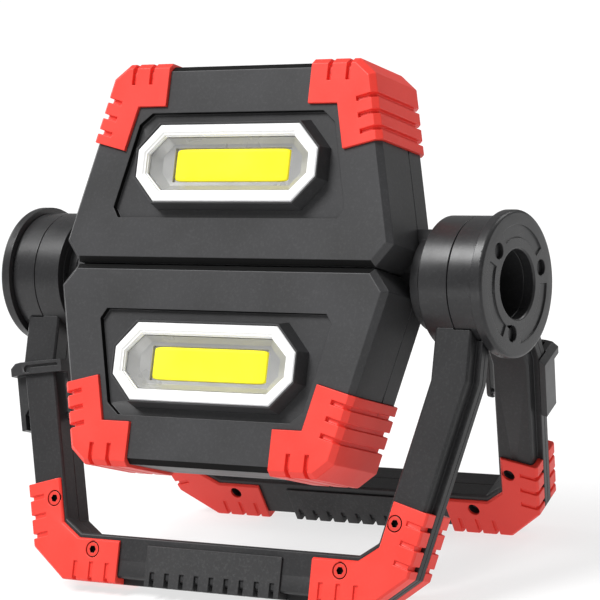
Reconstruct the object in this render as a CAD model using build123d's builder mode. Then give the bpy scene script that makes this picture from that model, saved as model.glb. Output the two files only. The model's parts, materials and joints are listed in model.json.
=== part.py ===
"""Folding twin-head work light on two swinging bracket stands.

Millimetres, +Z up. The origin is on the floor, under the middle of the hub axis. The hub axis
runs along X. Each head is drawn in its own frame: u across, v away from the hub axis, n out of
the lamp's face. Each stand is drawn in a frame of its own: u across, s down from the hub axis,
n out of the stand's outer face.
"""
from math import atan2, cos, degrees, hypot, radians, sin
import os

from build123d import *

os.makedirs("parts", exist_ok=True)

# Stance
stand_angle = 21.8          # each stand leans out by this, from the vertical
head_lean = 22.7            # both heads lean back by this
fold_gap = 0.3              # from the middle plane to whatever folds against it
foot_flat = 0.5             # depth of the flat worn on each foot

# Head shell: half widths of the face from the hinge outwards, then distances from the hub axis
head_wide_half = 72.4
head_foot_half = head_wide_half - 5.6
head_top_half = head_wide_half - 15.4
head_tip_half = head_top_half - 5.5
head_tip = 74.8
head_top = head_tip - 4.3
head_wide = 9.2
head_foot = 2.4
head_bevel = 2.1
head_back = 1.3
head_face = 32.6
head_split = 12.0
head_wall = 2.4
back_seat = head_back + head_wall
rebate = 1.2                # the cases stand back by this under the corner guards
knuckle_gap = 0.5
saddle_reach = 4.0
saddle_fit = 0.1
margin = 1.0                # how far cutting shapes run past what they cut
corner_gap = 0.3            # plain clearance between parts that turn face to face

# Hub, half distances along X
ear_in = head_wide_half + head_bevel + knuckle_gap
ear_out = ear_in + 3.6
collar_in = ear_out + corner_gap
collar_out = collar_in + 3.4
ring_a_in = collar_out + corner_gap       # front stand's ring
ring_a_out = ring_a_in + 11.8
ring_b_in = ring_a_out + corner_gap       # rear stand's ring
ring_b_out = ring_b_in + 10.5
flange_in = ring_b_out + corner_gap
flange_out = flange_in + 4.5

# Hub, radii
ring_radius = 24.8
flange_radius = 27.1
flange_rim = 1.4
ear_radius = 18.3
barrel_radius = 21.5
spindle_radius = 11.5
running_gap = 0.06          # radial clearance of each ring and ear
hub_bore_radius = 12.6
hub_bore_depth = 20.0
hub_bore_chamfer = 0.6
cap_screw_circle = 18.3
cap_screw_count = 3
cap_screw_turn = 23.5       # the first screw, from straight down towards the front
cap_screw_head = 2.8
cap_screw_head_thick = 1.6
cap_head_depth = 3.0
cap_screw_shank = 1.5
cap_screw_length = 12.0
cap_recess = (17.0, 21.6)   # inner and outer radius of the shallow arcs
cap_recess_deep = 0.6
cap_recess_clear = 18.5     # each arc stops this many degrees short of a screw
screw_hole_fit = 0.15

# Lamp unit: flat and side half lengths of each eight-sided outline, then their half heights
lamp_centre = 38.1
bezel_base = (33.0, 17.2, 43.3, 6.2)
bezel_rim = (32.3, 15.6, 41.9, 5.8)
frame_outer = (31.7, 14.9, 41.1, 5.3)
frame_inner = (29.3, 10.2, 36.3, 3.7)
lamp_opening = (30.5, 13.4, 39.6, 4.6)
frame_front = head_face + 4.0
frame_back = frame_front - 3.4
frame_fit = 0.15
frame_edge = 0.5
lens_back = frame_front - 2.2
lens_thick = 1.2
led_half = (26.3, 6.35)
led_front = frame_back - 1.0
led_fit = 0.25
tray_back = led_front - 1.2
tray_floor = led_front - 0.3
tray_corner = 1.5
board_back = tray_back - 1.4
sink_thick = 2.2
sink_half = (43.0, 16.5)
fin_count = 7
fin_pitch = 5.0
fin_height = 3.0
fin_thick = 1.4

# Recess in the face, about the lamp's centre
recess_depth = 2.0
recess_low = lamp_centre - 20.4
recess_wide = lamp_centre - 16.4
recess_top = lamp_centre + 15.8
recess_high = lamp_centre + 20.2
recess_low_half = 50.1
recess_wide_half = 52.8
recess_top_half = 44.7
recess_tip_half = 39.2

# Inside the heads
cell_radius = 9.2
cell_length = 65.0
cell_first = 8.3            # from the hub axis to the first cell's near side
cell_between = 1.6
cell_fit = 0.1
cell_places = (cell_first + cell_radius, cell_first + 3 * cell_radius + cell_between)
cell_height = back_seat + cell_radius + 0.7
cell_cradle = 3.0
control_half = (26.0, 6.0)
control_centre = cell_places[1] + cell_radius + 5.3 + control_half[1]
control_low = back_seat + 5.7
control_thick = 1.6
post_radius = 2.2
button_radius = 6.0
button_slack = 0.15
button_proud = 0.6
button_flange = 7.2
button_flange_thick = 1.0
button_travel = 1.0
button_stem = 2.0
button_lift = 0.2           # the flange rests this far off the back wall
switch_half = 3.1
switch_height = 1.2
switch_gap = 0.1
port_centre = 16.0
port_half = (4.7, 2.3)
port_wall = 0.6
port_tongue = 1.0
port_lift = 0.2
port_cover_half = (8.0, 5.0)
port_cover_thick = 1.2
port_plug_slack = (1.3, 0.5)
port_fit = 0.25
case_boss_radius = 3.6
case_screws = ((head_wide_half - 9.4, 17.0),
               (24.0, control_centre + control_half[1] + case_boss_radius + 0.4))
case_screw_head = 2.6
case_screw_head_thick = 1.6
case_screw_shank = 1.25
case_screw_length = 16.0
case_screw_cross = (2.8, 0.6, 0.9)      # length, width and depth of the cross slots

# Head corner guards
guard_proud = 1.2
guard_end_half = head_tip_half - 18.9
guard_inner = (head_tip_half - 5.9, head_tip - 13.9)
guard_side_inner = (head_wide_half - 22.4, head_tip - 31.2)
guard_side_outer = (head_wide_half - 8.1, head_tip - 27.8)
head_notch_width = 1.8
head_notch_long = 6.4
head_notch_deep = 1.4
head_side_notches = (4.6, 10.9, 17.3)
head_end_notches = (head_tip_half - 2.4, head_tip_half - 10.6)
head_end_notch_long = 8.5

# Stands: half widths of the outer outline and of the opening, then distances from the hub axis
arm_outer_half = ring_b_out - 3.3
foot_outer_half = arm_outer_half - 18.3
bar_tip_half = foot_outer_half - 14.2
arm_inner_half = arm_outer_half - 15.4
foot_inner_half = arm_inner_half - 15.3
bar_inner_half = foot_inner_half - 7.7
arm_bend = 37.9
bar_bottom = 119.1
foot_outer = bar_bottom - 10.5
bar_top = bar_bottom - 16.2
foot_inner = bar_top - 5.0
stand_back = 1.5
stand_face = 16.2
stand_split = (stand_back + stand_face) / 2
stand_wall = 2.2
stand_edge = 0.8
rib_half = 2.6
rib_proud = 2.4
ring_fit = 0.03
swing_gap = 0.35
tongue_end = 34.0
tongue_slack = 0.25

# Stand corner guards and their screws
stand_guard_proud = 1.2
stand_guard_inset = 1.1
stand_guard_drop = 0.9      # further down than that along the bar
stand_guard_top = foot_outer - 22.8
stand_guard_end = bar_tip_half - 25.2
corner_out = 25.0           # how far the guards' top line runs past the arm, and back across it
corner_back = 45.0
stand_notch_width = 1.8
stand_notch_long = 5.0
stand_notch_deep = 0.8
stand_side_notches = (6.4, 13.8, 21.2)
stand_bar_notches = (bar_tip_half - 5.2, bar_tip_half - 12.8, bar_tip_half - 20.4)
stand_bar_notch_long = 7.5
arm_screw = foot_outer - 18.0
arm_screw_inset = 10.2
bar_screw_half = bar_tip_half - 12.7
bar_screw = bar_bottom - 10.0
stand_boss = 4.4
stand_boss_inset = 0.5
stand_counterbore = 3.15
stand_screw_head = 2.75
stand_screw_seat = stand_face - 1.8
stand_screw_top = stand_face + 1.0
stand_screw_shank = 1.5
stand_screw_end = stand_back + 3.1
stand_socket_flats = 2.6
stand_socket_deep = 1.6
stand_back_hole = 2.45
stand_thread_start = stand_back + 2.5
thread_fit = 0.02

# Grips
grip_half = 30.9
grip_proud = 0.8
grip_reach = 15.6
grip_slots = 9
grip_slot_pitch = 6.87
grip_slot_width = 2.0
grip_slot_deep = 5.6

# Hanging hook on one arm of each stand, measured from its pin
hook_pivot = 59.4
hook_gap = 0.35
hook_low = 5.5              # its legs' near and far sides, out along the stand's thickness
hook_high = 14.3
hook_outer_thick = 2.4
hook_inner_gap = 3.2
hook_inner_thick = 1.8
hook_reach = 24.0
hook_tail = 2.7
hook_filler_end = 3.6
hook_corner = (2.4, 1.7)
hook_plate_thick = 1.5
hook_plate_fall = 0.14      # the cross plate drops by this share of its run
hook_plate_tall = 5.0
hook_slot_eye_at = (4.4, 3.4)      # across the arm, and down from the plate's edge
hook_slot_eye = 1.55
hook_slot_wide = 1.1
hook_slot_deep = 1.0
hook_pin_cover = 0.8
hook_pin_radius = 1.6
hook_pin_gap = 0.05

slope = (foot_outer_half - arm_outer_half) / (foot_outer - arm_bend)
arm_tilt = degrees(atan2(-slope, 1.0))
stand_bottom = bar_bottom + rib_proud
lean = radians(stand_angle)
axis_height = stand_bottom * cos(lean) - fold_gap * sin(lean) - foot_flat

hub = Vector(0, 0, axis_height)


def outer_at(s):
    """Half width of a stand's tapering arm over its outer sides, s below the hub axis."""
    return arm_outer_half + slope * (s - arm_bend)


def inner_at(s):
    """Half width of the opening between the tapering arms, s below the hub axis."""
    fall = (foot_inner_half - arm_inner_half) / (foot_inner - arm_bend)
    return arm_inner_half + fall * (s - arm_bend)


stand_screws = ((outer_at(arm_screw) - arm_screw_inset, arm_screw), (bar_screw_half, bar_screw))

tilt = radians(head_lean)
face_normal = (0, -cos(tilt), sin(tilt))
upper_plane = Plane(origin=hub, x_dir=(1, 0, 0), z_dir=face_normal)
lower_plane = Plane(origin=hub, x_dir=(-1, 0, 0), z_dir=face_normal)
front_plane = Plane(origin=hub, x_dir=(-1, 0, 0), z_dir=(0, -cos(lean), sin(lean)))
rear_plane = Plane(origin=hub, x_dir=(1, 0, 0), z_dir=(0, cos(lean), sin(lean)))


def save(piece, name):
    """Label a finished piece and write it."""
    piece.label = name
    export_step(piece, f"parts/{name}.step")


def mirrored(half):
    """A closed outline from the points of its right half, listed from one end to the other."""
    return list(half) + [(-x, y) for x, y in reversed(half)]


def face_of(points):
    """Fill a closed outline inside the sketch that is open."""
    Polygon(*points, align=None)


def octagon(sizes, centre):
    """The outline of a flat eight-sided frame about the lamp's centre."""
    flat_half, flat_height, side_half, side_height = sizes
    right = [(flat_half, -flat_height), (side_half, -side_height)]
    right += [(side_half, side_height), (flat_half, flat_height)]
    return [(x, y + centre) for x, y in mirrored(right)]


def prism(plane, points, low, high):
    """A plain prism over an outline, from low to high along the plane's normal."""
    with BuildPart() as solid:
        with BuildSketch(plane.offset(low)):
            face_of(points)
        extrude(amount=high - low)
    return solid.part


def round_bar(plane, places, radius, low, high):
    """Round bars along the plane's normal, one at each place."""
    with BuildPart() as bars:
        with BuildSketch(plane.offset(low)):
            with Locations(*places):
                Circle(radius)
        extrude(amount=high - low)
    return bars.part


def hub_disc(side, inner, outer, radius, bore=0.0):
    """A disc or tube on the hub axis between two half distances, on one side."""
    plane = Plane(origin=hub + Vector(side * inner, 0, 0), x_dir=(0, 1, 0), z_dir=(side, 0, 0))
    with BuildPart() as disc:
        with BuildSketch(plane):
            Circle(radius)
            if bore:
                Circle(bore, mode=Mode.SUBTRACT)
        extrude(amount=outer - inner)
    return disc.part


# ---------------------------------------------------------------- heads

head_half = [(head_foot_half, head_foot), (head_wide_half, head_wide)]
head_half += [(head_top_half, head_top), (head_tip_half, head_tip)]


def head_block(plane, grow, low, high, bevel):
    """The head's outline, grown all round, with its front and back rims bevelled."""
    with BuildPart() as block:
        with BuildSketch(plane.offset(low)):
            face_of(mirrored(head_half))
            offset(amount=grow, kind=Kind.INTERSECTION)
        extrude(amount=high - low)
        if bevel:
            across = block.faces().sort_by(Axis(plane.origin, plane.z_dir))
            chamfer(across[0].edges() + across[-1].edges(), bevel)
    return block.part


def guard_corner(side):
    """The outline that a head's corner guard covers, on one side."""
    rise = (guard_side_outer[1] - guard_side_inner[1]) / (guard_side_outer[0] - guard_side_inner[0])
    reach = 1.4 * head_wide_half
    far = guard_side_inner[1] + rise * (reach - guard_side_inner[0])
    points = [(guard_end_half, 2 * head_tip), (guard_end_half, guard_inner[1]), guard_inner]
    points += [guard_side_inner, (reach, far), (reach, 2 * head_tip)]
    return [(side * u, v) for u, v in points]


def head_notches(plane, side):
    """Prisms for the guard's notches: three across the side and two across the end."""
    run = (head_top_half - head_wide_half, head_top - head_wide)
    length = hypot(*run)
    along = (run[0] / length, run[1] / length)
    across = degrees(atan2(-along[0], along[1]))
    grown = head_bevel + guard_proud
    with BuildPart() as notches:
        with BuildSketch(plane.offset(-margin)):
            for reach in head_side_notches:
                u = guard_side_outer[0] + reach * along[0]
                v = guard_side_outer[1] + reach * along[1]
                with Locations(Location((side * u, v), side * across)):
                    Rectangle(2 * head_notch_long, head_notch_width)
            for u in head_end_notches:
                with Locations((side * u, head_tip + grown)):
                    Rectangle(head_notch_width, 2 * head_end_notch_long)
        extrude(amount=head_face + 2 * guard_proud + 2 * margin)
    return notches.part


def make_head(name, plane, with_port):
    """Make every piece of one head."""
    hub_side = 1 if plane is upper_plane else -1
    body = head_block(plane, head_bevel, head_back, head_face, head_bevel)
    grown = head_bevel + guard_proud
    skin = head_block(plane, grown, fold_gap, head_face + guard_proud, head_bevel)
    low, high = head_back + rebate, head_face - rebate
    core = head_block(plane, head_bevel - rebate, low, high, head_bevel)
    low, high = fold_gap + head_notch_deep, head_face + guard_proud - head_notch_deep
    notch_floor = head_block(plane, grown - head_notch_deep, low, high, head_bevel)
    inset = head_bevel - rebate - head_wall
    low, high = head_back + head_wall, head_face - recess_depth - head_wall
    hollow = head_block(plane, inset, low, high, 0)
    top = head_face + 3 * margin
    corners = [prism(plane, guard_corner(side), -margin, top) for side in (1, -1)]

    floor = head_face - recess_depth
    recess_half = [(recess_low_half, recess_low), (recess_wide_half, recess_wide)]
    recess_half += [(recess_top_half, recess_top), (recess_tip_half, recess_high)]
    bosses = [(side * u, v) for u, v in case_screws for side in (1, -1)]

    # Front case: face, sides, bosses for the case screws
    with BuildPart() as front_case:
        with BuildSketch(plane.offset(head_split)):
            Rectangle(4 * head_wide_half, 4 * head_tip)
        extrude(amount=head_face)
        add(body, mode=Mode.INTERSECT)
        for corner in corners:
            add(corner - core, mode=Mode.SUBTRACT)
        add(hollow, mode=Mode.SUBTRACT)
        add(prism(plane, mirrored(recess_half), floor, top), mode=Mode.SUBTRACT)
        add(prism(plane, octagon(lamp_opening, lamp_centre), 0, head_face), mode=Mode.SUBTRACT)
        add(round_bar(plane, bosses, case_boss_radius, head_split, floor - head_wall))
        screw_top = back_seat + case_screw_length
        add(round_bar(plane, bosses, case_screw_shank, 0, screw_top + margin / 2), mode=Mode.SUBTRACT)
    save(front_case.part, f"{name}_front_case")

    # Rear case: back, the screws' seats, the cells' cradle, and the hinge's ear or saddle
    posts = [(side * (control_half[0] - post_radius), control_centre) for side in (1, -1)]
    with BuildPart() as rear_case:
        with BuildSketch(plane.offset(head_split)):
            Rectangle(4 * head_wide_half, 4 * head_tip)
        extrude(amount=-head_face)
        add(body, mode=Mode.INTERSECT)
        for corner in corners:
            add(corner - core, mode=Mode.SUBTRACT)
        add(hollow, mode=Mode.SUBTRACT)
        add(round_bar(plane, bosses, case_boss_radius, back_seat, head_split))
        add(round_bar(plane, posts, post_radius, back_seat, control_low))
        with BuildSketch(plane.offset(back_seat)):
            with Locations(*[(0, v) for v in cell_places]):
                Rectangle(cell_length, 2 * cell_cradle)
        extrude(amount=cell_height - back_seat)
        for v in cell_places:
            cell_plane = Plane(
                origin=plane.from_local_coords(Vector(-cell_length, v, cell_height)),
                x_dir=plane.y_dir,
                z_dir=plane.x_dir,
            )
            with BuildSketch(cell_plane):
                Circle(cell_radius + cell_fit)
            extrude(amount=2 * cell_length, mode=Mode.SUBTRACT)
        add(round_bar(plane, bosses, case_screw_shank + screw_hole_fit, 0, head_split),
            mode=Mode.SUBTRACT)
        add(round_bar(plane, bosses, case_screw_head + screw_hole_fit, 0, back_seat),
            mode=Mode.SUBTRACT)
        hole = button_radius + button_slack
        button_at = [(0, control_centre)]
        add(round_bar(plane, button_at, hole, 0, back_seat), mode=Mode.SUBTRACT)
        if with_port:
            with BuildSketch(plane.offset(head_back - margin)):
                with Locations((port_centre, control_centre)):
                    Rectangle(
                        2 * (port_cover_half[0] + port_fit), 2 * (port_cover_half[1] + port_fit)
                    )
            extrude(amount=margin + port_cover_thick, mode=Mode.SUBTRACT)
            with BuildSketch(plane.offset(0)):
                with Locations((port_centre, control_centre)):
                    Rectangle(2 * port_half[0], 2 * port_half[1])
            extrude(amount=back_seat, mode=Mode.SUBTRACT)
        if not with_port:
            for side in (1, -1):
                with BuildSketch(plane.offset(fold_gap)):
                    with Locations((side * (head_foot_half + ear_out) / 2, ear_radius / 2)):
                        Rectangle(ear_out - head_foot_half, ear_radius - 2 * knuckle_gap)
                extrude(amount=head_split - fold_gap)
                add(hub_disc(side * hub_side, ear_in, ear_out, ear_radius))
        for side in (1, -1):
            relief = spindle_radius + (saddle_fit if with_port else running_gap)
            clear = 0.0 if with_port else knuckle_gap
            inner = head_foot_half - saddle_reach
            add(hub_disc(side, inner, ear_in, relief + clear), mode=Mode.SUBTRACT)
            add(hub_disc(side, ear_in, collar_out, relief), mode=Mode.SUBTRACT)
    save(rear_case.part, f"{name}_rear_case")

    # Corner guards
    for side, label in ((hub_side, "right"), (-hub_side, "left")):
        corner = corners[0] if side > 0 else corners[1]
        with BuildPart() as guard:
            add(skin)
            add(corner, mode=Mode.INTERSECT)
            add(core, mode=Mode.SUBTRACT)
            add(head_notches(plane, side) - notch_floor, mode=Mode.SUBTRACT)
        save(guard.part, f"{name}_{label}_guard")

    # Bezel: a tapered collar with a pocket for the white frame
    with BuildPart() as bezel:
        with BuildSketch(plane.offset(floor)):
            face_of(octagon(bezel_base, lamp_centre))
        with BuildSketch(plane.offset(frame_front)):
            face_of(octagon(bezel_rim, lamp_centre))
        loft()
        with BuildSketch(plane.offset(frame_back)):
            face_of(octagon(frame_outer, lamp_centre))
            offset(amount=frame_fit, kind=Kind.INTERSECTION)
        extrude(amount=frame_front, mode=Mode.SUBTRACT)
        with BuildSketch(plane.offset(0)):
            face_of(octagon(lamp_opening, lamp_centre))
        extrude(amount=head_face + frame_front, mode=Mode.SUBTRACT)
    save(bezel.part, f"{name}_bezel")

    # White frame round the lens
    with BuildPart() as frame:
        with BuildSketch(plane.offset(frame_back)):
            face_of(octagon(frame_outer, lamp_centre))
        extrude(amount=frame_front - frame_back)
        front = frame.faces().sort_by(Axis(plane.origin, plane.z_dir))[-1]
        chamfer(front.edges(), frame_edge)
        opening = octagon(frame_inner, lamp_centre)
        add(prism(plane, opening, 0, frame_front + margin), mode=Mode.SUBTRACT)
    save(frame.part, f"{name}_lamp_frame")

    # Lens, let into the frame
    with BuildPart() as lens:
        with BuildSketch(plane.offset(lens_back)):
            face_of(octagon(frame_inner, lamp_centre))
            offset(amount=-frame_fit, kind=Kind.INTERSECTION)
        extrude(amount=lens_thick)
    save(lens.part, f"{name}_lens")

    # Reflector tray: slopes from the frame's opening down to the emitter
    window = (led_half[0] + led_fit, led_half[1] + led_fit)
    with BuildPart() as tray:
        with BuildSketch(plane.offset(tray_back)):
            face_of(octagon(lamp_opening, lamp_centre))
            offset(amount=-frame_fit, kind=Kind.INTERSECTION)
        extrude(amount=frame_back - tray_back)
        with BuildSketch(plane.offset(tray_back)):
            with Locations((0, lamp_centre)):
                Rectangle(2 * window[0], 2 * window[1])
        extrude(amount=frame_back, mode=Mode.SUBTRACT)
        near = (
            window[0] - tray_corner,
            window[1] + thread_fit,
            window[0] + thread_fit,
            window[1] - tray_corner,
        )
        with BuildSketch(plane.offset(tray_floor)):
            face_of(octagon(near, lamp_centre))
        with BuildSketch(plane.offset(frame_back + thread_fit)):
            face_of(octagon(frame_inner, lamp_centre))
        loft(mode=Mode.SUBTRACT)
    save(tray.part, f"{name}_reflector")

    # Emitter and its board
    with BuildPart() as emitter:
        with BuildSketch(plane.offset(tray_back)):
            with Locations((0, lamp_centre)):
                Rectangle(2 * led_half[0], 2 * led_half[1])
        extrude(amount=led_front - tray_back)
    save(emitter.part, f"{name}_led_emitter")
    with BuildPart() as board:
        with BuildSketch(plane.offset(board_back)):
            face_of(octagon(lamp_opening, lamp_centre))
            offset(amount=-frame_fit, kind=Kind.INTERSECTION)
        extrude(amount=tray_back - board_back)
    save(board.part, f"{name}_led_board")

    # Heat sink: a plate on the front case's inner face, a pad through it, and fins behind
    plate_front = floor - head_wall
    with BuildPart() as sink:
        with BuildSketch(plane.offset(plate_front - sink_thick)):
            with Locations((0, lamp_centre)):
                Rectangle(2 * sink_half[0], 2 * sink_half[1])
        extrude(amount=sink_thick)
        with BuildSketch(plane.offset(plate_front)):
            face_of(octagon(lamp_opening, lamp_centre))
            offset(amount=-frame_fit, kind=Kind.INTERSECTION)
        extrude(amount=board_back - plate_front)
        with BuildSketch(plane.offset(plate_front - sink_thick)):
            with Locations((0, lamp_centre)):
                with GridLocations(1, fin_pitch, 1, fin_count):
                    Rectangle(2 * sink_half[0], fin_thick)
        extrude(amount=-fin_height)
    save(sink.part, f"{name}_heat_sink")

    # Two rechargeable cells in the cradle
    with BuildPart() as cells:
        for v in cell_places:
            start = plane.from_local_coords(Vector(-cell_length / 2, v, cell_height))
            with BuildSketch(Plane(origin=start, x_dir=plane.y_dir, z_dir=plane.x_dir)):
                Circle(cell_radius)
            extrude(amount=cell_length)
    save(cells.part, f"{name}_cells")

    # Control board on its posts, with the push switch under the button
    with BuildPart() as control:
        with BuildSketch(plane.offset(control_low)):
            with Locations((0, control_centre)):
                Rectangle(2 * control_half[0], 2 * control_half[1])
        extrude(amount=control_thick)
        with BuildSketch(plane.offset(control_low)):
            with Locations((0, control_centre)):
                Rectangle(2 * switch_half, 2 * switch_half)
        extrude(amount=-switch_height)
    save(control.part, f"{name}_control_board")

    # Push button
    switch_top = control_low - switch_height
    with BuildPart() as button:
        with BuildSketch(plane.offset(head_back - button_proud)):
            with Locations((0, control_centre)):
                Circle(button_radius)
        extrude(amount=back_seat + button_proud - head_back + button_lift)
        with BuildSketch(plane.offset(back_seat + button_lift)):
            with Locations((0, control_centre)):
                Circle(button_flange)
        extrude(amount=button_flange_thick)
        stem = back_seat + button_lift + button_flange_thick
        with BuildSketch(plane.offset(stem)):
            with Locations((0, control_centre)):
                Circle(button_stem)
        extrude(amount=switch_top - stem - button_travel - switch_gap)
        outer = button.faces().sort_by(Axis(plane.origin, plane.z_dir))[0]
        fillet(outer.edges(), button_proud / 2)
    save(button.part, f"{name}_button")

    # Case screws
    with BuildPart() as screws:
        head_low = back_seat - case_screw_head_thick
        long, wide, deep = case_screw_cross
        add(round_bar(plane, bosses, case_screw_head, head_low, back_seat))
        shank_top = back_seat + case_screw_length
        add(round_bar(plane, bosses, case_screw_shank, back_seat, shank_top))
        for u, v in bosses:
            with BuildSketch(plane.offset(head_low)):
                with Locations((u, v)):
                    Rectangle(long, wide)
                    Rectangle(wide, long)
            extrude(amount=deep, mode=Mode.SUBTRACT)
    save(screws.part, f"{name}_case_screws")


make_head("upper", upper_plane, False)
make_head("lower", lower_plane, True)

# ---------------------------------------------------------------- charging port

port_seat = back_seat + port_lift
with BuildPart() as port_socket:
    with BuildSketch(lower_plane.offset(port_seat)):
        with Locations((port_centre, control_centre)):
            Rectangle(2 * (port_half[0] + port_wall), 2 * (port_half[1] + port_wall))
            Rectangle(2 * port_half[0], 2 * port_half[1], mode=Mode.SUBTRACT)
    extrude(amount=control_low - port_seat)
    with BuildSketch(lower_plane.offset(control_low - port_tongue)):
        with Locations((port_centre, control_centre)):
            Rectangle(2 * port_half[0], 2 * port_half[1])
    extrude(amount=port_tongue)
save(port_socket.part, "charging_socket")

with BuildPart() as port_cover:
    with BuildSketch(lower_plane.offset(head_back)):
        with Locations((port_centre, control_centre)):
            Rectangle(2 * port_cover_half[0], 2 * port_cover_half[1])
    extrude(amount=port_cover_thick)
    with BuildSketch(lower_plane.offset(head_back + port_cover_thick)):
        with Locations((port_centre, control_centre)):
            Rectangle(*[2 * (h - slack) for h, slack in zip(port_half, port_plug_slack)])
    extrude(amount=head_wall - port_cover_thick - port_lift / 2)
save(port_cover.part, "port_cover")

# ---------------------------------------------------------------- hub


def cap_screw_places():
    """The cap screws' places on a plane that looks out along the hub axis."""
    first = radians(cap_screw_turn)
    step = radians(360 / cap_screw_count)
    turns = [first + i * step for i in range(cap_screw_count)]
    return [(-cap_screw_circle * sin(t), -cap_screw_circle * cos(t)) for t in turns]


def hub_plane(side, distance):
    """A plane across the hub axis whose second direction is straight up."""
    x_dir = (0, side, 0)
    return Plane(origin=hub + Vector(side * distance, 0, 0), x_dir=x_dir, z_dir=(side, 0, 0))


def sector_ends(y, z):
    """The far corners of the wedge that the cap's arcs leave clear about a screw at (y, z)."""
    middle = degrees(atan2(z, y))
    turns = [radians(middle + d) for d in (-cap_recess_clear, cap_recess_clear)]
    return [(2 * flange_radius * cos(t), 2 * flange_radius * sin(t)) for t in turns]


for side, label in ((1, "right"), (-1, "left")):
    places = [(side * y, z) for y, z in cap_screw_places()]
    # Pivot: spindle in the lower head's saddle, collar, and the barrel that both rings turn on
    with BuildPart() as pivot:
        add(hub_disc(side, head_foot_half - saddle_reach + knuckle_gap, collar_in, spindle_radius))
        add(hub_disc(side, collar_in, collar_out, ear_radius))
        add(hub_disc(side, collar_out, flange_in, barrel_radius))
        bore = hub_disc(side, flange_out - hub_bore_depth, flange_in, hub_bore_radius)
        add(bore, mode=Mode.SUBTRACT)
        low = flange_in - cap_screw_length + cap_head_depth
        holes = round_bar(hub_plane(side, low), places, cap_screw_shank, 0, cap_screw_length)
        add(holes, mode=Mode.SUBTRACT)
    save(pivot.part, f"{label}_pivot")

    # Cap: flange with a bore, three shallow arc recesses and three counterbored screw holes
    with BuildPart() as cap:
        add(hub_disc(side, flange_in, flange_out, flange_radius, hub_bore_radius))
        outer = cap.faces().sort_by(Axis.X)[-1 if side > 0 else 0]
        chamfer(outer.edges().sort_by(SortBy.LENGTH)[0], hub_bore_chamfer)
        outer = cap.faces().sort_by(Axis.X)[-1 if side > 0 else 0]
        fillet(outer.edges().sort_by(SortBy.LENGTH)[-1], flange_rim)
        through = cap_screw_shank + screw_hole_fit
        add(round_bar(hub_plane(side, flange_in), places, through, -margin, 2 * cap_head_depth),
            mode=Mode.SUBTRACT)
        sunk = cap_screw_head + screw_hole_fit
        add(round_bar(hub_plane(side, flange_out), places, sunk, -cap_head_depth, margin),
            mode=Mode.SUBTRACT)
        with BuildSketch(hub_plane(side, flange_out - cap_recess_deep)):
            Circle(cap_recess[1])
            Circle(cap_recess[0], mode=Mode.SUBTRACT)
            for y, z in places:
                Polygon((0, 0), *sector_ends(y, z), align=None, mode=Mode.SUBTRACT)
        extrude(amount=cap_recess_deep + margin, mode=Mode.SUBTRACT)
    save(cap.part, f"{label}_hub_cap")

# Cap screws, three on each side
with BuildPart() as cap_screws:
    for side in (1, -1):
        places = [(side * y, z) for y, z in cap_screw_places()]
        seat = flange_out - cap_head_depth
        add(round_bar(hub_plane(side, seat), places, cap_screw_head, 0, cap_screw_head_thick))
        end = flange_in - cap_screw_length + cap_head_depth + margin / 2
        add(round_bar(hub_plane(side, end), places, cap_screw_shank, 0, seat - end))
save(cap_screws.part, "hub_cap_screws")

# ---------------------------------------------------------------- stands

outer_half = [(arm_outer_half, 0), (arm_outer_half, arm_bend), (foot_outer_half, foot_outer)]
outer_half += [(bar_tip_half, bar_bottom)]
inner_half = [(arm_inner_half, -arm_bend), (arm_inner_half, arm_bend)]
inner_half += [(foot_inner_half, foot_inner)]
inner_half += [(bar_inner_half, bar_top)]
hook_centre = (outer_at(hook_pivot) + inner_at(hook_pivot)) / 2
arm_half_width = (outer_at(hook_pivot) - inner_at(hook_pivot)) / 2 * cos(radians(arm_tilt))
far = 2 * arm_outer_half
everywhere = mirrored([(far, -far), (far, far)])


def stand_block(plane, grow, inset, low, high, edge=0.0, edge_low=0.0, drop=0.0):
    """The stand's outline with its outer sides grown, its opening widened and its rims bevelled.

    A drop moves the opening's lower side further down.
    """
    opening = inner_half[:2] + [(u, s + drop) for u, s in inner_half[2:]]
    with BuildPart() as block:
        with BuildSketch(plane.offset(low)):
            face_of(mirrored(outer_half))
            if grow:
                offset(amount=grow, kind=Kind.INTERSECTION)
        extrude(amount=high - low)
        with BuildSketch(plane.offset(low)):
            face_of(mirrored(opening))
            if inset:
                offset(amount=inset, kind=Kind.INTERSECTION)
        extrude(amount=high - low, mode=Mode.SUBTRACT)
        across = block.faces().sort_by(Axis(plane.origin, plane.z_dir))
        if edge:
            chamfer(across[-1].edges(), edge)
        if edge_low:
            across = block.faces().sort_by(Axis(plane.origin, plane.z_dir))
            chamfer(across[0].edges(), edge_low)
    return block.part


def foot_corner(side):
    """The outline that a stand's corner guard covers, square to the arm at its top."""
    across = (cos(radians(arm_tilt)), sin(radians(arm_tilt)))
    top = (outer_at(stand_guard_top), stand_guard_top)
    out = (top[0] + corner_out * across[0], top[1] + corner_out * across[1])
    back = (top[0] - corner_back * across[0], top[1] - corner_back * across[1])
    below = stand_bottom + corner_out
    points = [out, back, (stand_guard_end, back[1]), (stand_guard_end, below), (out[0], below)]
    return [(side * u, s) for u, s in points]


def foot_notches(plane):
    """Prisms for the guards' notches: three across each arm and three across the bar."""
    along = (-sin(radians(arm_tilt)), cos(radians(arm_tilt)))
    with BuildPart() as notches:
        with BuildSketch(plane.offset(-margin)):
            for side in (1, -1):
                for reach in stand_side_notches:
                    u = outer_at(stand_guard_top) + rib_proud + reach * along[0]
                    s = stand_guard_top + reach * along[1]
                    with Locations(Location((side * u, s), side * arm_tilt)):
                        Rectangle(2 * (stand_notch_long + rib_proud), stand_notch_width)
                for u in stand_bar_notches:
                    with Locations((side * u, stand_bottom)):
                        Rectangle(stand_notch_width, 2 * stand_bar_notch_long)
        extrude(amount=stand_face + stand_guard_proud + 2 * margin)
    return notches.part


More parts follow.
